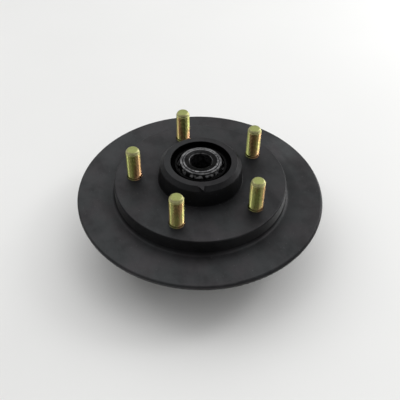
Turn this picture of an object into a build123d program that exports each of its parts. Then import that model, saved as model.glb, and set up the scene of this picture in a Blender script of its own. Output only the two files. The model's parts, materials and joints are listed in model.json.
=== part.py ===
from build123d import *
import os
from math import atan, cos, degrees, radians, sin, tan

# Wheel hub assembly: a one-piece cast hub with a round flange and five pressed-in
# wheel studs, turning on two opposed tapered roller bearings behind a grease seal.
# Millimetres. Z is the hub axis and points outboard, to the wheel side. The origin
# is the centre of the barrel's inboard end face, on which the hub stands.

# Hub casting, along the axis
barrel_reach = 62.0  # inboard end face up to the wheel face
hat_height = 13.4  # wheel face above the outboard side of the flange
boss_height = 18.9  # boss face above the wheel face
hat_thickness = 11.0
flange_thickness = 4.8

# Hub casting, across the axis
flange_diameter = 215.0
hat_wall = 6.0  # at its foot
hat_draft = 3.0  # degrees
boss_diameter = 69.4
boss_draft = 6.0  # degrees
barrel_diameter = 66.0
barrel_draft = 4.0  # degrees
cap_ledge = 2.8  # step from the outboard cup out to the bore for a dust cap
cap_bore_depth = 4.6
grease_cavity_diameter = 44.0
shoulder_width = 3.4  # radial step that backs each cup
shoulder_land = 4.0

# Corners of the casting
flange_edge_radius = 2.1
hat_edge_radius = 1.2
hat_root_radius = 3.2
boss_root_radius = 1.0
boss_chamfer = 3.5
barrel_root_radius = 8.0
barrel_edge_radius = 1.5
pocket_radius = 3.2
bore_chamfer = 0.6
corner_share = 0.45  # most of a wall that one rounded corner takes

# Pointed tongue left by the mould on the boss, level with the boss face
tongue_angle = -103.0
tongue_reach = 5.4  # tip out from the edge of the boss face
tongue_root = 1.0  # foot in from that edge
tongue_left = 4.8  # foot to each side of the tip
tongue_right = 1.1

# Wheel studs
stud_count = 5
stud_circle_diameter = 114.3
stud_diameter = 12.0
stud_reach = 29.2  # above the wheel face
stud_point = 2.7  # length of the tapered tip
stud_tip_diameter = 9.0
stud_tip_radius = 2.0
stud_head_diameter = 16.5
stud_head_thickness = 5.0
stud_head_corner = 1.0
stud_head_clearance = 0.4
stud_shoulder_diameter = 13.0  # the part that bites into the hub
stud_shoulder_chamfer = 0.5
stud_shoulder_bite = 0.05  # radial
stud_hole_chamfer = 0.3
first_stud_angle = 90.0

# Fits
race_clearance = 0.05
rib_clearance = 0.10
pocket_clearance = 0.20
cage_clearance = 0.35
cup_bite = 0.02  # radial press of each cup in its bore
seal_bite = 0.02

# Outboard bearing
outer_cone_stand = 0.5  # cone back face above the boss face
outer_cone_bore = 19.05
outer_cup_diameter = 45.24
outer_bearing_width = 15.49
outer_cone_width = 16.64
outer_cup_width = 12.07
outer_roller_diameter = 5.8
outer_roller_length = 9.6
outer_roller_tilt = 10.2  # degrees
outer_roller_count = 15

# Inboard bearing
inner_cone_bore = 25.4
inner_cup_diameter = 50.29
inner_bearing_width = 14.22
inner_cone_width = 14.73
inner_cup_width = 10.67
inner_roller_diameter = 5.6
inner_roller_length = 8.6
inner_roller_tilt = 11.5  # degrees
inner_roller_count = 17

# Rings of both bearings
ring_corner = 1.2  # bore and outside corners
rib_corner = 0.6
cage_thickness = 1.1
cage_offset = 1.0  # inside of the cage sheet out from the pitch cone
cage_lip_width = 2.1
cage_lip_corner = 0.5
cage_toe = 1.6  # cage past the small end of the rollers
cage_heel = 0.9  # cage sheet past the large end
first_roller_angle = 90.0
small_rib_height = 0.7
large_rib_height = 1.3
roller_land = 0.4  # straight edge of a roller at its large end

# Grease seal
seal_ledge = 0.25  # step from the inboard cup out to the seal
seal_width = 8.0
seal_recess = 0.5  # seal face in from the inboard end face
seal_to_cone = 0.7
seal_steel = 1.2
seal_bend_radius = 1.4
seal_flange_width = 5.6
seal_lip_diameter = 31.5
lip_drop = 1.1  # top of the lip below the top of the case
lip_crown = 1.6  # rubber above the middle of the spring
lip_wall = 1.8  # rubber inside the spring
lip_offset = 0.2  # lip edge above the middle of the spring
lip_hollow = 1.3
lip_bond = 1.2  # rubber past the edge of the flange
lip_skin = 0.9  # rubber over the flange
lip_shoulder = 1.4  # height of the rubber where the lip rises from the flange
dust_lip_height = 0.9
dust_lip_lead = 0.5
garter_diameter = 1.6
garter_hold = 0.2
garter_clearance = 0.05

wheel_face = barrel_reach
flange_face = wheel_face - hat_height
flange_back = flange_face - flange_thickness
hat_back = wheel_face - hat_thickness
boss_face = wheel_face + boss_height
outer_cup_seat = boss_face + outer_cone_stand - outer_bearing_width
seal_diameter = inner_cup_diameter + 2 * seal_ledge
seal_top = seal_recess + seal_width
inner_cone_back = seal_top + seal_to_cone
inner_cup_seat = inner_cone_back + inner_bearing_width


def turned(*outline):
    """Revolve a closed outline about Z: points (radius, height) or (radius, height, corner)."""
    points = [point[:2] for point in outline]
    corners = [point[2] if len(point) > 2 else 0 for point in outline]
    edge = FilletPolyline(*points, radius=corners, close=True)
    return revolve(Plane.XZ * make_face(edge), Axis.Z)


def fitted(corner, wall):
    """Corner radius that leaves a straight part of a thin wall."""
    return min(corner, corner_share * wall)


class TaperedBearing:
    """One tapered roller bearing, with its cup's back face at height 0 and opening upwards.

    Cup race, cone race and roller axes meet in one apex below, so the rollers roll truly.
    The rollers lie midway between bore and outside.
    """

    def __init__(self, bore, outside, width, cone_width, cup_width, roller, length, tilt, count):
        self.bore_radius = bore / 2
        self.cup_radius = outside / 2
        self.width = width
        self.cone_width = cone_width
        self.cup_width = cup_width
        self.pitch_radius = (self.bore_radius + self.cup_radius) / 2
        self.roller_radius = roller / 2
        self.half_length = length / 2
        self.tilt = radians(tilt)
        self.count = count
        self.to_apex = self.pitch_radius / sin(self.tilt)
        self.half_angle = atan(self.roller_radius / self.to_apex)
        self.middle = cup_width / 2 + self.roller_radius * sin(self.tilt)
        self.apex = self.middle - self.to_apex * cos(self.tilt)

    def at(self, along, out):
        """Point at a distance along the roller axis from its middle, and square out from it."""
        return (
            self.pitch_radius + along * sin(self.tilt) + out * cos(self.tilt),
            self.middle + along * cos(self.tilt) - out * sin(self.tilt),
        )

    def roller_radius_at(self, along):
        return (self.to_apex + along) * tan(self.half_angle)

    def cup_race(self, height):
        angle = self.tilt + self.half_angle
        return (height - self.apex) * tan(angle) + race_clearance / cos(angle)

    def cone_race(self, height):
        angle = self.tilt - self.half_angle
        return (height - self.apex) * tan(angle) - race_clearance / cos(angle)

    def cup(self):
        """Outer ring with its tapered race, pressed in the hub."""
        outside = self.cup_radius
        front_wall = outside - self.cup_race(self.cup_width)
        return turned(
            (self.cup_race(0), 0),
            (outside, 0, fitted(ring_corner, outside - self.cup_race(0))),
            (outside, self.cup_width, fitted(ring_corner, front_wall)),
            (self.cup_race(self.cup_width), self.cup_width),
        )

    def cone(self):
        """Inner ring: a race between a low rib at the front and the guiding rib at the back."""
        front = self.width - self.cone_width
        low, low_rib = self.rib_foot(-1), self.rib_radius(-1)
        high, high_rib = self.rib_foot(1), self.rib_radius(1)
        slope = tan(self.tilt)
        return turned(
            (self.bore_radius, front, fitted(ring_corner, low_rib - self.bore_radius)),
            (low_rib, front),
            (low_rib, low[1] - small_rib_height * slope),
            low,
            high,
            (high_rib, high[1] - large_rib_height * slope),
            (high_rib, self.width, rib_corner),
            (self.bore_radius, self.width, ring_corner),
        )

    def rib_foot(self, end):
        """Where the cone race meets its rib: end is 1 at the large rib, -1 at the small one."""
        height = self.at(end * (self.half_length + rib_clearance), -self.roller_radius)[1]
        return self.cone_race(height), height

    def rib_radius(self, end):
        return self.rib_foot(end)[0] + (large_rib_height if end > 0 else small_rib_height)

    def roller(self):
        """Tapered roller, in its place on the +X side."""
        end = self.half_length
        small = self.roller_radius_at(-end)
        large = self.roller_radius_at(end - roller_land)
        body = turned((0, -end), (small, -end), (large, end - roller_land), (large, end), (0, end))
        return self.roller_place() * body

    def roller_place(self):
        radius, height = self.at(0, 0)
        return Location((radius, 0, height), (0, degrees(self.tilt), 0))

    def pocket(self):
        """Window in the cage: the roller grown by its clearance."""
        large = self.roller_radius_at(self.half_length) + pocket_clearance
        small = self.roller_radius_at(-self.half_length) + pocket_clearance
        return self.roller_place() * Cone(small, large, 2 * (self.half_length + pocket_clearance))

    def cage(self):
        """Pressed cage: a conical sheet with a window for each roller and a turned-in lip."""
        inside = cage_offset
        outside = cage_offset + cage_thickness
        low = -self.half_length - cage_toe
        high = self.half_length + cage_heel
        lip_top = self.width - cage_clearance
        lip_in = self.rib_radius(1) + cage_clearance
        lip_out = lip_in + cage_lip_width
        toe_in = self.rib_radius(-1) + cage_clearance
        toe = self.at(low, outside)
        shell = turned(
            (toe_in, toe[1]),
            toe,
            self.at(high, outside),
            (lip_out, lip_top - cage_thickness),
            (lip_out, lip_top, cage_lip_corner),
            (lip_in, lip_top, cage_lip_corner),
            (lip_in, lip_top - cage_thickness),
            self.at(high, inside),
            self.at(low + cage_thickness, inside),
            (toe_in, toe[1] + cage_thickness),
        )
        for place in self.roller_places():
            shell -= place * self.pocket()
        return shell

    def roller_places(self):
        return PolarLocations(0, self.count, start_angle=first_roller_angle)


def hub_casting():
    """Hub turned from the outline of its casting, then bored for the studs."""
    boss_foot = boss_diameter / 2 + (boss_height - boss_chamfer) * tan(radians(boss_draft))
    barrel_top = barrel_diameter / 2 + hat_back * tan(radians(barrel_draft))
    cap_radius = outer_cup_diameter / 2 + cap_ledge
    outer_seat_radius = outer_cup_diameter / 2 - cup_bite
    inner_seat_radius = inner_cup_diameter / 2 - cup_bite
    seal_radius = seal_diameter / 2 - seal_bite
    cavity_radius = grease_cavity_diameter / 2
    outer_shoulder = outer_seat_radius - shoulder_width
    inner_shoulder = inner_seat_radius - shoulder_width
    pocket_corner = fitted(pocket_radius, hat_back - flange_back)
    pocket_outside = (stud_circle_diameter + stud_head_diameter) / 2 + stud_head_clearance + pocket_corner
    hat_foot = pocket_outside + hat_wall
    hat_top = hat_foot - hat_height * tan(radians(hat_draft))
    flange_edge = fitted(flange_edge_radius, flange_thickness)
    outer_land = outer_cup_seat - shoulder_land
    inner_land = inner_cup_seat + shoulder_land
    body = turned(
        (seal_radius + bore_chamfer, 0),
        (barrel_diameter / 2, 0, barrel_edge_radius),
        (barrel_top, hat_back, barrel_root_radius),
        (pocket_outside, hat_back, pocket_corner),
        (pocket_outside, flange_back, pocket_corner),
        (flange_diameter / 2, flange_back, flange_edge),
        (flange_diameter / 2, flange_face, flange_edge),
        (hat_foot, flange_face, hat_root_radius),
        (hat_top, wheel_face, hat_edge_radius),
        (boss_foot, wheel_face, boss_root_radius),
        (boss_diameter / 2, boss_face - boss_chamfer),
        (boss_diameter / 2 - boss_chamfer, boss_face),
        (cap_radius + bore_chamfer, boss_face),
        (cap_radius, boss_face - bore_chamfer),
        (cap_radius, boss_face - cap_bore_depth),
        (outer_seat_radius, boss_face - cap_bore_depth),
        (outer_seat_radius, outer_cup_seat),
        (outer_shoulder, outer_cup_seat),
        (outer_shoulder, outer_land),
        (cavity_radius, outer_land - (cavity_radius - outer_shoulder)),
        (cavity_radius, inner_land + (cavity_radius - inner_shoulder)),
        (inner_shoulder, inner_land),
        (inner_shoulder, inner_cup_seat),
        (inner_seat_radius, inner_cup_seat),
        (inner_seat_radius, seal_top),
        (seal_radius, seal_top),
        (seal_radius, bore_chamfer),
    )
    hole_radius = stud_shoulder_diameter / 2 - stud_shoulder_bite
    hole = turned(
        (0, flange_back),
        (hole_radius, flange_back),
        (hole_radius, wheel_face - stud_hole_chamfer),
        (hole_radius + stud_hole_chamfer, wheel_face),
        (hole_radius + stud_hole_chamfer, boss_face),
        (0, boss_face),
    )
    for place in stud_places():
        body -= place * hole
    return body + casting_tongue()


def casting_tongue():
    """Tongue over the boss chamfer, drawn back to the wall of the boss below its tip."""
    edge = boss_diameter / 2 - boss_chamfer
    foot = edge - tongue_root
    tip = edge + tongue_reach
    plan = make_face(Polyline((foot, -tongue_left), (tip, 0), (foot, tongue_right), close=True))
    tongue = Pos(0, 0, boss_face) * extrude(plan, amount=boss_chamfer, dir=(0, 0, -1))
    inside = Pos(0, 0, boss_face - boss_chamfer / 2) * Cone(boss_diameter / 2, tip, boss_chamfer)
    return Rot(0, 0, tongue_angle) * (tongue & inside)


def stud_places():
    return PolarLocations(stud_circle_diameter / 2, stud_count, start_angle=first_stud_angle)


def wheel_stud():
    """Stud on its own axis: round head, press-fit shoulder, shank and tapered round tip."""
    shank = stud_diameter / 2
    shoulder = stud_shoulder_diameter / 2
    tip = wheel_face + stud_reach
    return turned(
        (0, hat_back - stud_head_thickness),
        (stud_head_diameter / 2, hat_back - stud_head_thickness, stud_head_corner),
        (stud_head_diameter / 2, hat_back),
        (shoulder, hat_back),
        (shoulder, wheel_face - stud_shoulder_chamfer),
        (shank, wheel_face),
        (shank, tip - stud_point),
        (stud_tip_diameter / 2, tip, stud_tip_radius),
        (0, tip),
    )


def seal_case():
    """Pressed steel ring of the seal, flanged inwards at its outboard face."""
    radius = seal_diameter / 2
    flange = radius - seal_flange_width
    return turned(
        (flange, seal_recess),
        (radius, seal_recess, seal_bend_radius),
        (radius, seal_top),
        (radius - seal_steel, seal_top),
        (radius - seal_steel, seal_recess + seal_steel),
        (flange, seal_recess + seal_steel),
    )


def garter_seat():
    """Radius and height of the centre line of the garter spring."""
    return (seal_lip_diameter + garter_diameter) / 2 + lip_wall, seal_top - lip_drop - lip_crown


def seal_lip():
    """Rubber lip held by the flange of the case, with a groove for its spring."""
    edge = seal_lip_diameter / 2
    flange = seal_diameter / 2 - seal_flange_width
    back = seal_recess + seal_steel
    radius, height = garter_seat()
    garter_radius = garter_diameter / 2
    dust_lip = seal_recess + dust_lip_height
    lip = turned(
        (edge + dust_lip_lead, seal_recess),
        (flange, seal_recess),
        (flange, back),
        (flange + lip_bond, back),
        (flange + lip_bond, back + lip_skin),
        (radius + garter_hold, back + lip_shoulder),
        (radius + garter_hold, height + garter_radius + garter_hold),
        (radius - garter_radius, height + lip_crown),
        (edge, height + lip_offset),
        (edge + lip_hollow, (dust_lip + height) / 2),
        (edge, dust_lip),
    )
    return lip - Pos(0, 0, height) * Torus(radius, garter_radius + garter_clearance)


def garter_spring():
    """Garter spring that closes the lip, as the ring that its coils fill."""
    radius, height = garter_seat()
    return Pos(0, 0, height) * Torus(radius, garter_diameter / 2)


outer_bearing = TaperedBearing(
    outer_cone_bore, outer_cup_diameter, outer_bearing_width, outer_cone_width, outer_cup_width,
    outer_roller_diameter, outer_roller_length, outer_roller_tilt, outer_roller_count,
)
inner_bearing = TaperedBearing(
    inner_cone_bore, inner_cup_diameter, inner_bearing_width, inner_cone_width, inner_cup_width,
    inner_roller_diameter, inner_roller_length, inner_roller_tilt, inner_roller_count,
)
bearings = {
    "outer": (outer_bearing, Pos(0, 0, outer_cup_seat)),
    "inner": (inner_bearing, Location((0, 0, inner_cup_seat), (180, 0, 0))),
}

nodes = {
    "hub": hub_casting(),
    "seal_case": seal_case(),
    "seal_lip": seal_lip(),
    "seal_garter_spring": garter_spring(),
}
for number, place in enumerate(stud_places(), start=1):
    nodes[f"wheel_stud_{number}"] = place * wheel_stud()
for side, (bearing, place) in bearings.items():
    nodes[f"{side}_bearing_cup"] = place * bearing.cup()
    nodes[f"{side}_bearing_cone"] = place * bearing.cone()
    nodes[f"{side}_bearing_cage"] = place * bearing.cage()
    roller = bearing.roller()
    for number, turn in enumerate(bearing.roller_places(), start=1):
        nodes[f"{side}_roller_{number:02d}"] = place * turn * roller

os.makedirs("parts", exist_ok=True)
for name, solid in nodes.items():
    export_step(solid, f"parts/{name}.step")
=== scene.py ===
import json
import math

import bpy
from mathutils import Matrix, Vector

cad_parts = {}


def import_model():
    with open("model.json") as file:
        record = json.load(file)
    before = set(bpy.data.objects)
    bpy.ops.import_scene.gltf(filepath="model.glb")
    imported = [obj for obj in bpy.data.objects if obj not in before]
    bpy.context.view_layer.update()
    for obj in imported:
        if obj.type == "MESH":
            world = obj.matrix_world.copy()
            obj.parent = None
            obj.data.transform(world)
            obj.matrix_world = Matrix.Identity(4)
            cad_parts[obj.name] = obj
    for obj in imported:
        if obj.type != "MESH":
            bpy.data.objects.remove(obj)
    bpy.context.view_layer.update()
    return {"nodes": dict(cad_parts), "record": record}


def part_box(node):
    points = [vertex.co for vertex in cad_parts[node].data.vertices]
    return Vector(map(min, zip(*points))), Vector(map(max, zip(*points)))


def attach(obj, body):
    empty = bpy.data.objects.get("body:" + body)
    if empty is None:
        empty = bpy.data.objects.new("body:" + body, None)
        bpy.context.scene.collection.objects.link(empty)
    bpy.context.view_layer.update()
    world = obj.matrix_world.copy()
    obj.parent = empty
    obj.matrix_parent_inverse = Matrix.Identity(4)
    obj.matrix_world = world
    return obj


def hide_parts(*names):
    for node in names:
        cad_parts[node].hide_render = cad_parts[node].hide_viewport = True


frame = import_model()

MM = 0.001
nodes = frame["nodes"]

# Sizes
studs = next(mount for mount in frame["record"]["mounts"] if mount["name"] == "wheel_studs")
WHEEL_FACE = studs["pos_m"][2]
STUD_COUNT = studs["dims"]["count"]
STUD_RADIUS = studs["dims"]["stud_r_mm"] * MM
TIP_LENGTH = 4.5 * MM  # end of a stud that turns to the colour of the tip
TIP_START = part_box("wheel_stud_1")[1].z - TIP_LENGTH
CAP_BORE = 25.42 * MM  # radius of the bore above the outboard bearing
BOSS_EDGE = 36 * MM
HAT_EDGE = 76 * MM

# Camera: fitted to the circles and studs of the photograph
IMAGE_PIXELS = 400
SENSOR = 36.0
FOCAL_PIXELS = 556.5
CAMERA_AZIMUTH = math.radians(-17.45)
CAMERA_ELEVATION = 44.885  # degrees
CAMERA_ROLL = math.radians(1.239)
CAMERA_DISTANCE = 0.5028
CAMERA_AIM = Vector((0.0, 0.0, 0.0341))

# Sockets of the mix node when it mixes colours
MIX_FACTOR = 0
MIX_FIRST = 6
MIX_SECOND = 7
MIX_RESULT = 2


def heading(azimuth, elevation=0):
    """Unit vector: azimuth in degrees from the camera's side, turning to its right."""
    angle = CAMERA_AZIMUTH + math.radians(azimuth)
    rise = math.radians(elevation)
    level = math.cos(rise)
    return Vector((math.sin(angle) * level, -math.cos(angle) * level, math.sin(rise)))


def grey(tone):
    return (tone, tone, tone, 1)


def clamped(value):
    return min(max(value, 0.0), 1.0)


# Node trees
class NodeTree:
    """Shader nodes; inputs take numbers, colours or other nodes' outputs."""

    def __init__(self, tree):
        self.tree = tree

    def node(self, kind, settings=None, **inputs):
        made = self.tree.nodes.new(kind)
        for key, value in (settings or {}).items():
            setattr(made, key, value)
        for key, value in inputs.items():
            self.feed(made.inputs[key.replace("_", " ")], value)
        return made

    def feed(self, socket, value):
        if isinstance(value, bpy.types.NodeSocket):
            self.tree.links.new(value, socket)
        else:
            socket.default_value = value

    def calculation(self, kind, operation, values):
        made = self.node(kind, {"operation": operation})
        for socket, value in zip(made.inputs, values):
            self.feed(socket, value)
        return made

    def math(self, operation, *values):
        return self.calculation("ShaderNodeMath", operation, values).outputs["Value"]

    def product(self, first, *others):
        for value in others:
            first = self.math("MULTIPLY", first, value)
        return first

    def measure(self, operation, *vectors):
        """A number worked out from vectors."""
        return self.calculation("ShaderNodeVectorMath", operation, vectors).outputs["Value"]

    def rise(self, vector):
        return self.node("ShaderNodeSeparateXYZ", Vector=vector).outputs["Z"]

    def between(self, value, low, high, start=0.0, end=1.0, kind="LINEAR"):
        """Map value from low..high to start..end, clamped."""
        return self.node(
            "ShaderNodeMapRange", {"clamp": True, "interpolation_type": kind},
            Value=value, From_Min=low, From_Max=high, To_Min=start, To_Max=end,
        ).outputs["Result"]


class Recipe(NodeTree):
    """A material made of noise and of the place and slope of the surface."""

    def __init__(self, name):
        self.material = bpy.data.materials.new(name)
        self.material.use_nodes = True
        super().__init__(self.material.node_tree)
        self.shader = self.tree.nodes["Principled BSDF"]
        self.place = self.node("ShaderNodeTexCoord").outputs["Object"]

    def surface(self, **inputs):
        for key, value in inputs.items():
            self.feed(self.shader.inputs[key.replace("_", " ")], value)

    def noise(self, scale, detail, rough, stretch=None, shift=0.0):
        """Noise of features about 1/scale metres wide, optionally stretched along the axes."""
        where = self.place
        if stretch or shift:
            where = self.node(
                "ShaderNodeMapping", Vector=where, Scale=stretch or (1, 1, 1),
                Location=(shift, shift, shift),
            ).outputs["Vector"]
        return self.node(
            "ShaderNodeTexNoise", Vector=where, Scale=scale, Detail=detail, Roughness=rough
        ).outputs["Fac"]

    def blend(self, factor, first, second, kind="MIX"):
        made = self.node("ShaderNodeMix", {"data_type": "RGBA", "blend_type": kind})
        self.feed(made.inputs[MIX_FACTOR], factor)
        self.feed(made.inputs[MIX_FIRST], first)
        self.feed(made.inputs[MIX_SECOND], second)
        return made.outputs[MIX_RESULT]

    def except_on(self, mask, level):
        """1 where the mask is 0, and the level where it is 1."""
        return self.between(mask, 0, 1, 1.0, level)

    def radius(self):
        """Distance from the hub axis, in metres."""
        flat = self.calculation("ShaderNodeVectorMath", "MULTIPLY", (self.place, (1.0, 1.0, 0.0)))
        return self.measure("LENGTH", flat.outputs["Vector"])

    def height(self):
        return self.rise(self.place)

    def steepness(self):
        """1 on an upright wall, 0 on a level face."""
        normal = self.node("ShaderNodeNewGeometry").outputs["True Normal"]
        return self.math("SUBTRACT", 1.0, self.math("ABSOLUTE", self.rise(normal)))

    def away_from(self, point):
        """Distance from a point, in metres."""
        return self.measure("DISTANCE", self.place, point)

    def facing(self, azimuth):
        """Cosine of the angle between the surface's normal and a side."""
        normal = self.node("ShaderNodeNewGeometry").outputs["Normal"]
        return self.measure("DOT_PRODUCT", normal, heading(azimuth))

    def towards(self, azimuth, near, far, start=0.0, end=1.0):
        """Map the distance from the axis towards a side, from near..far to start..end."""
        distance = self.measure("DOT_PRODUCT", self.place, heading(azimuth))
        return self.between(distance, near, far, start, end)

    def ring(self, reach, inner, outer, blur):
        """1 between two radii, with soft edges."""
        within = self.between(reach, inner - blur, inner + blur)
        return self.product(within, self.between(reach, outer - blur, outer + blur, 1, 0))

    def bump(self, value, strength, distance, below=None):
        made = self.node("ShaderNodeBump", Height=value, Strength=strength, Distance=distance)
        if below is not None:
            self.feed(made.inputs["Normal"], below)
        return made.outputs["Normal"]


# Finishes
# A noise has features per metre, detail, roughness of the detail, stretch along the axes, shift.
# A ramp turns a value from its first number to its second into the third to the fourth, or 0 to 1.
# A ring has an inner radius, an outer radius and half the width of its soft edges.
# A side is an azimuth and then a ramp of the distance from the axis towards it.

# Black paint
PAINT_DARK = (0.0070, 0.0071, 0.0076, 1)
PAINT_PALE = (0.0105, 0.0105, 0.0112, 1)
PAINT_SPECK = (0.22, 0.22, 0.23, 1)
PAINT_COOL = (0.92, 0.97, 1.0, 1)
PAINT_WARM = (1.0, 0.95, 1.0, 1)
# Black grease in the bore, darker than grease alone: painted shade of the recess
BORE_GREASE_AND_SHADE = grey(0.0012)
CLOUDS = dict(scale=28, detail=5, rough=0.55)
STREAKS = dict(scale=60, detail=6, rough=0.6, stretch=(1.6, 1.0, 1.0), shift=0.4)
SPECKS = dict(scale=900, detail=2, rough=0.4, shift=0.7)
TINTS = dict(scale=45, detail=3, rough=0.5, shift=0.9)
CAST_GRAIN = dict(scale=420, detail=4, rough=0.55, shift=0.2)
PAINT_GRAIN = dict(scale=1500, detail=3, rough=0.6)
CAST_BUMP = (0.22, 0.00022)  # strength, distance in metres
PAINT_BUMP = (0.18, 0.00010)
CLOUD_RAMP = (0.42, 0.68)
SPECK_RAMP = (0.74, 0.78, 0.0, 0.3)
TINT_RAMP = (0.4, 0.6)
PAINT_ROUGHNESS = (0.75, 1.30, 0.46, 0.54)
PAINT_GLOSS = (0.80, 1.20, 0.225, 0.415)
BORE_RIM = (CAP_BORE + 0.3 * MM, CAP_BORE + 0.7 * MM)  # radii between which the grease and its painted shade end
GREASE_AND_SHADE_GLOSS = 0.02  # share of the paint's gloss in the bore, cut for grease and painted shade
BOSS_WEAR = (BOSS_EDGE, HAT_EDGE, 0.67, 1.0)  # radius to share of gloss
REFLECTION_SPOT = (90 * MM, 32 * MM, 48.6 * MM)  # a place on the flange with a painted reflection
REFLECTION_SPOT_GLOSS = (10 * MM, 24 * MM, 1.75, 1.0)  # distance from it to share of gloss: the painted reflection
# Painted shade towards the right and painted light towards the front, as shares of gloss
SHADED_RIGHT = (105, -40 * MM, 60 * MM, 1.0, 0.78)
LIT_FRONT = (0, 40 * MM, 90 * MM, 1.0, 1.18)

# Corners with painted shade, where the paint's gloss is cut
BOSS_ROOT = (36 * MM, 38 * MM, MM)
BOSS_ROOT_DEPTH = 1.3
HAT_ROOT = (71 * MM, 80 * MM, MM)
HAT_ROOT_UNSHADED = (50, 56 * MM, 67 * MM, 1.0, 0.0)
CORNER_SLOPE = (0.01, 0.15, 0.0, 0.65)  # steepness to share of gloss lost
CORNER_LEFT = (-90, 30 * MM, 68 * MM, 1.0, 0.5)
CORNER_REAR = (180, 10 * MM, 60 * MM, 0.0, 0.48)
# Painted shade in wide rings round the feet of the boss and hat, and dirt in random patches, both cutting
# the gloss
BOSS_FOOT_SHADE = (35 * MM, 39 * MM, 2 * MM)
HAT_FOOT_SHADE = (76 * MM, 83 * MM, 5 * MM)
DIRT_DRIFT = (0.8, 1.2, -0.2, 0.2)
SHADE_AND_DIRT_GLOSS = 0.68

# Parts of the boss with a duller paint, as painted shade
CHAMFER = (31.4 * MM, 35.8 * MM, 0.4 * MM)
CHAMFER_REAR = (155, -6 * MM, 10 * MM)
CHAMFER_REAR_GLOSS = 0.20
BOSS_WALL = (34.7 * MM, 37 * MM, 0.3 * MM)
BOSS_WALL_SLOPE = (0.6, 0.9)  # steepness
BOSS_WALL_GLOSS = 0.55
BOSS_FACE = (CAP_BORE, 32.6 * MM, MM)
BOSS_FACE_RIGHT = (80, 0, 25 * MM)
BOSS_FACE_GLOSS = 0.82

# Dust on the upright walls
DUST_SLOPE = (0.86, 0.94, 0.0, 0.42)  # steepness to weight of the dust
DUST_REACH = (40 * MM, 60 * MM)  # radii between which it starts
# Painted shade: less dust sheen towards the left
DUST_SHADE_LEFT = (-90, 30 * MM, 68 * MM, 1.0, 0.3)
DUST_ROUGHNESS = 0.3


def black_paint():
    """Satin black paint over a sand-cast surface: cloudy, with pale specks, dusty on upright walls.

    The bore inside the boss has grease in place of dust, made near black as painted shade of the recess.
    """
    r = Recipe("black_paint")
    reach = r.radius()
    steep = r.steepness()
    outside = r.between(reach, *BORE_RIM)
    cloud = r.noise(**CLOUDS)
    drift = r.math("ADD", cloud, r.noise(**STREAKS))
    grain = r.bump(r.noise(**CAST_GRAIN), *CAST_BUMP)
    r.surface(
        Base_Color=paint_colour(r, cloud, outside),
        Roughness=r.between(drift, *PAINT_ROUGHNESS),
        Specular_IOR_Level=paint_gloss(r, reach, steep, drift),
        Specular_Tint=r.blend(r.between(r.noise(**TINTS), *TINT_RAMP), PAINT_COOL, PAINT_WARM),
        Normal=r.bump(r.noise(**PAINT_GRAIN), *PAINT_BUMP, grain),
        # Dust sheen on upright walls, less towards the left as painted shade
        Sheen_Weight=r.product(
            outside, r.between(steep, *DUST_SLOPE), r.between(reach, *DUST_REACH), r.towards(*DUST_SHADE_LEFT)
        ),
        Sheen_Roughness=DUST_ROUGHNESS,
    )
    return r.material


def paint_colour(r, cloud, outside):
    """Black in two tones with pale specks, and black grease with painted shade in the bore."""
    colour = r.blend(r.between(cloud, *CLOUD_RAMP), PAINT_DARK, PAINT_PALE)
    colour = r.blend(outside, BORE_GREASE_AND_SHADE, colour)
    speck = r.between(r.noise(**SPECKS), *SPECK_RAMP)
    return r.blend(r.product(speck, outside), colour, PAINT_SPECK)


def paint_gloss(r, reach, steep, drift):
    """Gloss of the paint: less in the corners and round the feet of the boss and hat, as painted shade, and
    less on parts of the boss.
    """
    boss_face = r.product(r.ring(reach, *BOSS_FACE), r.towards(*BOSS_FACE_RIGHT))
    boss_wall = r.product(r.ring(reach, *BOSS_WALL), r.between(steep, *BOSS_WALL_SLOPE))
    chamfer = r.product(r.ring(reach, *CHAMFER), r.towards(*CHAMFER_REAR))
    shade_and_dirt = r.math("ADD", r.ring(reach, *BOSS_FOOT_SHADE), r.ring(reach, *HAT_FOOT_SHADE))
    shade_and_dirt = r.math("ADD", shade_and_dirt, r.between(drift, *DIRT_DRIFT))
    return r.product(
        r.between(drift, *PAINT_GLOSS),
        r.between(reach, *BOSS_WEAR),
        r.between(r.away_from(REFLECTION_SPOT), *REFLECTION_SPOT_GLOSS),
        r.towards(*SHADED_RIGHT),
        r.towards(*LIT_FRONT),
        r.except_on(shade_and_dirt, SHADE_AND_DIRT_GLOSS),
        r.math("SUBTRACT", 1.0, corner_shade(r, reach, steep)),
        r.between(reach, *BORE_RIM, GREASE_AND_SHADE_GLOSS, 1.0),
        r.except_on(chamfer, CHAMFER_REAR_GLOSS),
        r.except_on(boss_wall, BOSS_WALL_GLOSS),
        r.except_on(boss_face, BOSS_FACE_GLOSS),
    )


def corner_shade(r, reach, steep):
    """Share of the gloss lost at the foot of the boss and of the hat, as painted shade."""
    boss_root = r.product(r.ring(reach, *BOSS_ROOT), BOSS_ROOT_DEPTH)
    hat_root = r.product(r.ring(reach, *HAT_ROOT), r.towards(*HAT_ROOT_UNSHADED))
    sides = r.math("ADD", r.towards(*CORNER_LEFT), r.towards(*CORNER_REAR))
    return r.product(r.math("ADD", boss_root, hat_root), r.between(steep, *CORNER_SLOPE), sides)


# Yellow passivated zinc
GOLD_GREEN = (0.26, 0.275, 0.095, 1)
ORANGE_BROWN = (0.27, 0.17, 0.08, 1)
COPPER = (0.44, 0.23, 0.13, 1)
CROWN_FLAT = (0.25, 0.27, 0.10, 1)
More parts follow.
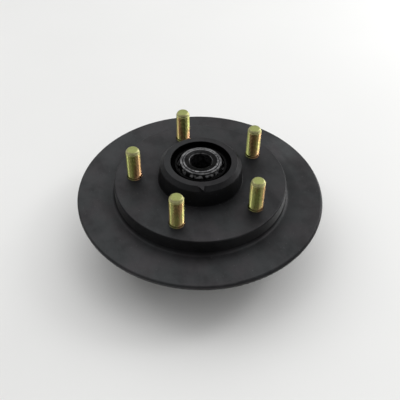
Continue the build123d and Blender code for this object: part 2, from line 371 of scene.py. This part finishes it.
# Painted highlight: the steep sides of a stud's tip are lighter than its flat top
CROWN_SIDE_HIGHLIGHT = (0.50, 0.48, 0.24, 1)
BROWN_FLECK = (0.15, 0.10, 0.045, 1)
ZINC_STREAKS = dict(scale=150, detail=3, rough=0.5, stretch=(1.0, 1.0, 0.2), shift=0.23)
ZINC_FLECKS = dict(scale=500, detail=4, rough=0.6, stretch=(1.0, 1.0, 0.35))
ZINC_SMEARS = dict(scale=1200, detail=2, rough=0.5, shift=0.3)
ZINC_GRAIN = dict(scale=2600, detail=3, rough=0.6)
ZINC_BUMP = (0.06, 0.00004)
REFLECTION_TINT_SIDE = 70  # azimuth of the side of a stud painted browner, a painted reflection colour
REFLECTION_TINT_RAMP = (-0.8, 0.8, -0.16, 0.06)
STREAK_RAMP = (0.40, 0.56)
FOOT_HEIGHT = (WHEEL_FACE + 1 * MM, WHEEL_FACE + 12 * MM, 0.65, 0.0)
FOOT_SIDE = (0.0, 0.7)
TIP_HEIGHT = (TIP_START, TIP_START + 2.5 * MM)
CROWN_SLOPE = (0.05, 0.35)  # steepness
FLECK_RAMP = (0.52, 0.76, 0.0, 0.45)
ZINC_ROUGHNESS = (0.40, 0.70, 0.16, 0.24)
TIP_ROUGHER = 0.32


def yellow_zinc():
    """Yellow passivated zinc: gold-green tips, and shanks streaked with orange-brown.

    One side of a shank is painted browner, and its foot copper there: a painted reflection colour, turned
    the same way on every stud.
    """
    r = Recipe("yellow_zinc")
    tip = r.between(r.height(), *TIP_HEIGHT)
    # Painted reflection colour: browner on the side facing one azimuth, and copper at its foot
    side = r.facing(REFLECTION_TINT_SIDE)
    streaks = r.math("ADD", r.noise(**ZINC_STREAKS), r.between(side, *REFLECTION_TINT_RAMP))
    shank = r.blend(r.between(streaks, *STREAK_RAMP), GOLD_GREEN, ORANGE_BROWN)
    foot = r.product(r.between(r.height(), *FOOT_HEIGHT), r.between(side, *FOOT_SIDE))
    shank = r.blend(foot, shank, COPPER)
    # Painted highlight on the steep sides of the tip
    crown = r.blend(r.between(r.steepness(), *CROWN_SLOPE), CROWN_FLAT, CROWN_SIDE_HIGHLIGHT)
    flecks = r.between(r.noise(**ZINC_FLECKS), *FLECK_RAMP)
    smears = r.between(r.noise(**ZINC_SMEARS), *ZINC_ROUGHNESS)
    r.surface(
        Base_Color=r.blend(flecks, r.blend(tip, shank, crown), BROWN_FLECK),
        Metallic=1.0,
        Roughness=r.math("ADD", smears, r.product(tip, TIP_ROUGHER)),
        Normal=r.bump(r.noise(**ZINC_GRAIN), *ZINC_BUMP),
    )
    return r.material


# Bearing steel
PATCHES_NONE = 0.65  # the noise above this is bright when the share of bright patches is 0
PATCHES_ALL = 0.35  # and above this when the share is 1
PATCH_BLUR = 0.08  # half the width of a patch's soft edge
FILM_BLUE = (1.04, 1.02)  # blue against red of the dull and the bright tone
GREASE_PATCHES = dict(scale=300, detail=2, rough=0.5)
STEEL_SMEARS = dict(scale=600, detail=3, rough=0.5, shift=0.5)
GREASE_LUMPS = dict(scale=900, detail=3, rough=0.5)
TURNING_SCALE = 4200.0
TURNING_DETAIL = 3.0
TURNING_TONES = (0.3, 0.7)
TURNING_DARK = 0.8
TURNING_BUMP = (0.10, 0.00003)
LUMP_BUMP = (0.40, 0.00030)
SMEAR_RAMP = (0.3, 0.7)
PAINTED_SHADE_TONE = 0.25  # share of the metal's tone on the side in painted shade, away from the lit side
LIT_SIDE_RAMP = (-8 * MM, 8 * MM)
BAND_BLUR = 0.2 * MM
BAND_SIDE = (8 * MM, 12.5 * MM)
TONED_SIDE = 25  # azimuth of the side where the rib is lighter and the lip darker
CONE_BANDS = [  # from and to in radius, film, azimuth of the side or None for all round
    (0, 9.2 * MM, (0.004, 0.020, 0.3), None),  # bore
    (9.2 * MM, 10.0 * MM, (0.07, 0.20, 0.5), None),  # rubbed corner of the bore
    (13.9 * MM, 15.4 * MM, (0.062, 0.19, 0.50), None),  # rim of the rib
    (13.9 * MM, 15.4 * MM, (0.085, 0.25, 0.50), TONED_SIDE),
]
CAGE_BANDS = [
    (15.3 * MM, 17.8 * MM, (0.060, 0.14, 0.5), None),  # lip
    (15.3 * MM, 17.8 * MM, (0.036, 0.105, 0.5), TONED_SIDE),
    (17.8 * MM, 19.4 * MM, (0.008, 0.32, 0.30), None),  # shoulder under the lip
]
STEELS = {
    # The cone face is darker away from azimuth 195: painted shade
    "cone_steel": dict(film=(0.004, 0.014, 0.45), rough=(0.38, 0.55), bands=CONE_BANDS, lit_side=195),
    # The cup's film is near black: grease, and painted shade of its recess
    "cup_steel": dict(film=(0.001, 0.003, 0.3), rough=(0.40, 0.60)),
    "cage_steel": dict(film=(0.006, 0.010, 0.3), rough=(0.28, 0.48), bands=CAGE_BANDS),
    "roller_steel": dict(film=(0.01, 0.05, 0.3), rough=(0.3, 0.5)),
    "seal_steel": dict(film=(0.20, 0.45, 0.6), rough=(0.35, 0.5)),
    "spring_steel": dict(film=(0.20, 0.45, 0.7), rough=(0.3, 0.4)),
}


def greased_steel(name, film, rough, bands=(), lit_side=None):
    """Bearing steel with fine turning rings under a patchy film of dark grease.

    film is (dull, bright, share): the metal's tone under the film, its tone where the film is
    thin, and the share of thin patches. rough is the lowest and the highest roughness. bands have
    films of their own, each between two radii. The last argument is the azimuth of the lit side;
    away from it the tone is painted darker, as painted shade.
    """
    r = Recipe(name)
    reach = r.radius()
    turning = r.node(
        "ShaderNodeTexNoise", {"noise_dimensions": "1D"}, W=reach, Scale=TURNING_SCALE,
        Detail=TURNING_DETAIL,
    ).outputs["Fac"]
    patches = r.noise(**GREASE_PATCHES)
    colour = grease_film(r, patches, *film)
    # Painted shade: away from the lit side the tone falls to a share of itself
    if lit_side is not None:
        lit_share = r.towards(lit_side, *LIT_SIDE_RAMP)
        colour = r.blend(1.0, colour, r.blend(lit_share, grey(PAINTED_SHADE_TONE), grey(1)), "MULTIPLY")
    for inner, outer, own_film, side in bands:
        inside = r.ring(reach, inner, outer, BAND_BLUR)
        if side is not None:
            inside = r.product(inside, r.towards(side, *BAND_SIDE))
        colour = r.blend(inside, colour, grease_film(r, patches, *own_film))
    rings = r.blend(r.between(turning, *TURNING_TONES), grey(1), grey(TURNING_DARK))
    r.surface(
        Base_Color=r.blend(1.0, colour, rings, "MULTIPLY"),
        Metallic=1.0,
        Roughness=r.between(r.noise(**STEEL_SMEARS), *SMEAR_RAMP, *rough),
        Normal=r.bump(r.noise(**GREASE_LUMPS), *LUMP_BUMP, r.bump(turning, *TURNING_BUMP)),
    )
    return r.material


def grease_film(r, patches, dull, bright, share):
    """Grey tone from dull to bright on about the given share of the patches."""
    edge = PATCHES_NONE + (PATCHES_ALL - PATCHES_NONE) * share
    tones = [(tone, tone, tone * blue, 1) for tone, blue in zip((dull, bright), FILM_BLUE)]
    return r.blend(r.between(patches, edge - PATCH_BLUR, edge + PATCH_BLUR), *tones)


def steel(name):
    return greased_steel(name, **STEELS[name])


# Rubber
RUBBER_DARK = (0.012, 0.012, 0.013, 1)
RUBBER_BLOOM = (0.030, 0.029, 0.028, 1)
BLOOM = dict(scale=300, detail=4, rough=0.55)
BLOOM_RAMP = (0.4, 0.7)
RUBBER_GRAIN = dict(scale=2400, detail=2, rough=0.5)
RUBBER_BUMP = (0.15, 0.00005)
RUBBER_ROUGHNESS = (0.3, 0.7, 0.45, 0.7)


def seal_rubber():
    r = Recipe("seal_rubber")
    bloom = r.noise(**BLOOM)
    r.surface(
        Base_Color=r.blend(r.between(bloom, *BLOOM_RAMP), RUBBER_DARK, RUBBER_BLOOM),
        Roughness=r.between(bloom, *RUBBER_ROUGHNESS),
        Normal=r.bump(r.noise(**RUBBER_GRAIN), *RUBBER_BUMP),
    )
    return r.material


# Floor
FLOOR_TONES = (0.80, 0.80, 0.79, 1), (0.83, 0.83, 0.82, 1)
FLOOR_CLOUDS = dict(scale=3, detail=3, rough=0.5)
FLOOR_RAMP = (0.3, 0.7)
FLOOR_ROUGHNESS = 0.8


def pale_floor():
    r = Recipe("pale_floor")
    tone = r.between(r.noise(**FLOOR_CLOUDS), *FLOOR_RAMP)
    r.surface(Base_Color=r.blend(tone, *FLOOR_TONES), Roughness=FLOOR_ROUGHNESS)
    return r.material


def dress(names, material):
    for name in names:
        nodes[name].data.materials.clear()
        nodes[name].data.materials.append(material)


def dress_frame():
    """Give every carried-over node its finish."""
    dress(["hub"], black_paint())
    for piece in ("cone", "cup", "cage", "roller"):
        dress([name for name in nodes if f"_{piece}" in name], steel(f"{piece}_steel"))
    dress(["seal_case"], steel("seal_steel"))
    dress(["seal_lip"], seal_rubber())


# Pieces built here
ARC_STEPS = 6
SMOOTH_BELOW = 40  # degrees between faces
STUD_SIDES = 64
STUD_HEAD_CORNER = 1.0 * MM
STUD_HEAD_THICKNESS = 5.0 * MM
STUD_SHOULDER = 6.5 * MM
STUD_SHOULDER_CHAMFER = 0.5 * MM
STUD_POINT = 2.7 * MM
STUD_TIP = 4.5 * MM
STUD_TIP_ROUND = 2.0 * MM
THREAD_PITCH = 1.5 * MM
THREAD_DEPTH = 0.92 * MM
THREAD_CREST = 0.12  # share of half a pitch left as the crest
THREAD_GAP = 0.6 * MM  # plain shank above the wheel face
THREAD_RUNOUT = 1.5 * MM
THREAD_ROWS = 10  # rows of points in one pitch
GARTER_WIRE = 0.15 * MM  # radius of the wire
GARTER_TURNS = 300
GARTER_STEPS = 12
GARTER_SIDES = 5


def link_mesh(name, points, faces, material, smooth_below=SMOOTH_BELOW):
    mesh = bpy.data.meshes.new(name)
    mesh.from_pydata(points, [], faces)
    mesh.materials.append(material)
    mesh.shade_smooth()
    mesh.set_sharp_from_angle(angle=math.radians(smooth_below))
    made = bpy.data.objects.new(name, mesh)
    bpy.context.scene.collection.objects.link(made)
    return made


def rounded(*outline):
    """Points (radius, height) of an outline whose corners (radius, height, corner) are arcs."""
    points = [Vector(point[:2]) for point in outline]
    path = []
    for index, point in enumerate(outline):
        here = points[index]
        if len(point) == 2:
            path.append(here)
            continue
        corner = point[2]
        before = (points[index - 1] - here).normalized()
        after = (points[index + 1] - here).normalized()
        half = before.angle(after) / 2
        start = here + before * (corner / math.tan(half))
        end = here + after * (corner / math.tan(half))
        centre = here + (before + after).normalized() * (corner / math.sin(half))
        for step in range(ARC_STEPS + 1):
            spoke = (start - centre).lerp(end - centre, step / ARC_STEPS)
            path.append(centre + spoke.normalized() * corner)
    return path


def refined(path, start, step):
    """The same path with points no further apart in height than step, above height start."""
    fine = [path[0]]
    for before, after in zip(path, path[1:]):
        rise = after.y - before.y
        pieces = max(1, math.ceil(rise / step)) if after.y > start else 1
        fine += [before.lerp(after, piece / pieces) for piece in range(1, pieces + 1)]
    return fine


def thread_groove(turn, height):
    """Share of the thread depth cut away at an angle (in turns) and height."""
    phase = (height / THREAD_PITCH - turn) % 1.0
    slope = 1.0 - abs(2.0 * phase - 1.0)
    return clamped((slope - THREAD_CREST) / (1.0 - 2.0 * THREAD_CREST))


def lathe_faces(rows, sides):
    """Faces of stacked rings of points between a first and a last centre point."""
    faces = [(0, 1 + (side + 1) % sides, 1 + side) for side in range(sides)]
    for row in range(rows - 1):
        below = 1 + row * sides
        above = below + sides
        for side in range(sides):
            across = (side + 1) % sides
            faces.append((below + side, below + across, above + across, above + side))
    last = 1 + (rows - 1) * sides
    faces += [(last + side, last + (side + 1) % sides, last + sides) for side in range(sides)]
    return faces


def threaded_stud(number, material):
    """Stud with a rolled thread, in place of the CAD's plain one."""
    node = f"wheel_stud_{number}"
    low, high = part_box(node)
    centre = (low + high) / 2
    head = (high.x - low.x) / 2
    thread_start = WHEEL_FACE + THREAD_GAP
    outline = rounded(
        (0, low.z),
        (head, low.z, STUD_HEAD_CORNER),
        (head, low.z + STUD_HEAD_THICKNESS),
        (STUD_SHOULDER, low.z + STUD_HEAD_THICKNESS),
        (STUD_SHOULDER, WHEEL_FACE - STUD_SHOULDER_CHAMFER),
        (STUD_RADIUS, WHEEL_FACE),
        (STUD_RADIUS, thread_start),
        (STUD_RADIUS, high.z - STUD_POINT),
        (STUD_TIP, high.z, STUD_TIP_ROUND),
        (0, high.z),
    )
    rows = refined(outline, thread_start, THREAD_PITCH / THREAD_ROWS)[1:-1]
    points = [(centre.x, centre.y, low.z)]
    for row in rows:
        fade = clamped((row.y - thread_start) / THREAD_RUNOUT)
        for side in range(STUD_SIDES):
            turn = side / STUD_SIDES
            cut = STUD_RADIUS - THREAD_DEPTH * fade * thread_groove(turn, row.y)
            radius = min(row.x, cut) if fade > 0 else row.x
            angle = 2 * math.pi * turn
            points.append((centre.x + radius * math.cos(angle), centre.y + radius * math.sin(angle), row.y))
    points.append((centre.x, centre.y, high.z))
    made = link_mesh(f"threaded_stud_{number}", points, lathe_faces(len(rows), STUD_SIDES), material)
    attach(made, "hub_body")
    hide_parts(node)


def coiled_garter(material):
    """The seal's garter spring as a closed coil of wire, in place of the CAD's plain ring."""
    low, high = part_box("seal_garter_spring")
    thick = (high.z - low.z) / 2
    ring = high.x - thick
    middle = Vector((0, 0, (low.z + high.z) / 2))
    coil = thick - GARTER_WIRE
    points = []
    faces = []
    rings = GARTER_TURNS * GARTER_STEPS
    for index in range(rings):
        around = 2 * math.pi * index / rings
        twist = 2 * math.pi * index / GARTER_STEPS
        out = Vector((math.cos(around), math.sin(around), 0))
        along = Vector((-math.sin(around), math.cos(around), 0))
        spoke = out * math.cos(twist) + Vector((0, 0, math.sin(twist)))
        centre = out * ring + middle + spoke * coil
        here = index * GARTER_SIDES
        ahead = (index + 1) % rings * GARTER_SIDES
        for side in range(GARTER_SIDES):
            angle = 2 * math.pi * side / GARTER_SIDES
            across = (side + 1) % GARTER_SIDES
            points.append(centre + (spoke * math.cos(angle) + along * math.sin(angle)) * GARTER_WIRE)
            faces.append((here + side, here + across, ahead + across, ahead + side))
    made = link_mesh("coiled_garter_spring", points, faces, material, smooth_below=180)
    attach(made, "hub_body")
    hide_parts("seal_garter_spring")


# Studio, with azimuths round from the camera's side and elevations, in degrees
FLOOR_HALF = 2.5  # half the length of a side
LAMP_DISTANCE = 1.2
LAMPS = {  # azimuth, elevation, width, height, energy
    "right_softbox": (130, 6, 0.5, 0.2, 5),
    "left_side_softbox": (-112, 40, 0.3, 0.3, 0.6),
    "right_side_softbox": (112, 40, 0.3, 0.3, 1.9),
}
SURROUND_TURN = 177  # azimuth and elevation of the brightest part, behind the object
SURROUND_RISE = 60
SURROUND_SPREAD = 0.1  # cosine of the angle from it at which the light has faded
SURROUND_BACK = 1.42
SURROUND_FRONT = 0.225
HORIZON_DARK = 0.10  # heights, on a sphere of radius 1, where the surround starts
HORIZON_LIGHT = 0.50  # and where it is at its full level
CEILING_RISE = 74  # elevation of the middle of the dark ceiling, on the camera's side
CEILING_EDGE = 0.85  # cosines of the angles from it where the dark starts
CEILING_CORE = 0.98  # and where it is darkest
CEILING_DARK = 0.15


def softbox(name, azimuth, elevation, width, height, energy):
    """Rectangular lamp that shines on the middle of the wheel face."""
    lamp = bpy.data.lights.new(name, "AREA")
    lamp.shape = "RECTANGLE"
    lamp.size = width
    lamp.size_y = height
    lamp.energy = energy
    holder = bpy.data.objects.new(name, lamp)
    bpy.context.scene.collection.objects.link(holder)
    away = heading(azimuth, elevation)
    holder.location = Vector((0, 0, WHEEL_FACE)) + away * LAMP_DISTANCE
    holder.rotation_mode = "QUATERNION"
    holder.rotation_quaternion = away.to_track_quat("Z", "Y")


def floor():
    corners = [(-1, -1), (1, -1), (1, 1), (-1, 1)]
    points = [(x * FLOOR_HALF, y * FLOOR_HALF, 0) for x, y in corners]
    made = link_mesh("floor", points, [(0, 1, 2, 3)], pale_floor())


def world():
    """Studio surround: bright behind the object, dim on the camera's side, white to the camera."""
    made = bpy.data.worlds.new("studio")
    made.use_nodes = True
    sky = NodeTree(made.node_tree)
    where = sky.node("ShaderNodeTexCoord").outputs["Generated"]
    behind = sky.measure("DOT_PRODUCT", where, heading(SURROUND_TURN, SURROUND_RISE))
    above = sky.measure("DOT_PRODUCT", where, heading(0, CEILING_RISE))
    glow = sky.between(behind, SURROUND_SPREAD, 1.0, 0.0, SURROUND_BACK, "SMOOTHSTEP")
    horizon = sky.between(sky.rise(where), HORIZON_DARK, HORIZON_LIGHT, 0.0, 1.0, "SMOOTHSTEP")
    ceiling = sky.between(above, CEILING_EDGE, CEILING_CORE, 1.0, CEILING_DARK, "SMOOTHSTEP")
    level = sky.math("MULTIPLY_ADD", glow, sky.product(horizon, ceiling), SURROUND_FRONT)
    camera_ray = sky.node("ShaderNodeLightPath").outputs["Is Camera Ray"]
    strength = sky.node("ShaderNodeMix", Factor=camera_ray, A=level, B=1.0).outputs["Result"]
    background = sky.tree.nodes["Background"]
    sky.feed(background.inputs["Color"], grey(1))
    sky.feed(background.inputs["Strength"], strength)
    bpy.context.scene.world = made


def camera():
    data = bpy.data.cameras.new("camera")
    data.sensor_width = SENSOR
    data.lens = FOCAL_PIXELS / IMAGE_PIXELS * SENSOR
    made = bpy.data.objects.new("camera", data)
    bpy.context.scene.collection.objects.link(made)
    back = heading(0, CAMERA_ELEVATION)
    right = Vector((math.cos(CAMERA_AZIMUTH), math.sin(CAMERA_AZIMUTH), 0))
    across = right * math.cos(CAMERA_ROLL) + back.cross(right) * math.sin(CAMERA_ROLL)
    turn = Matrix((across, back.cross(across), back)).transposed()
    made.matrix_world = Matrix.Translation(CAMERA_AIM + back * CAMERA_DISTANCE) @ turn.to_4x4()
    bpy.context.scene.camera = made


dress_frame()
zinc = yellow_zinc()
for number in range(1, STUD_COUNT + 1):
    threaded_stud(number, zinc)
coiled_garter(steel("spring_steel"))
floor()
world()
for name, settings in LAMPS.items():
    softbox(name, *settings)
camera()
bpy.context.scene.view_settings.view_transform = "Standard"
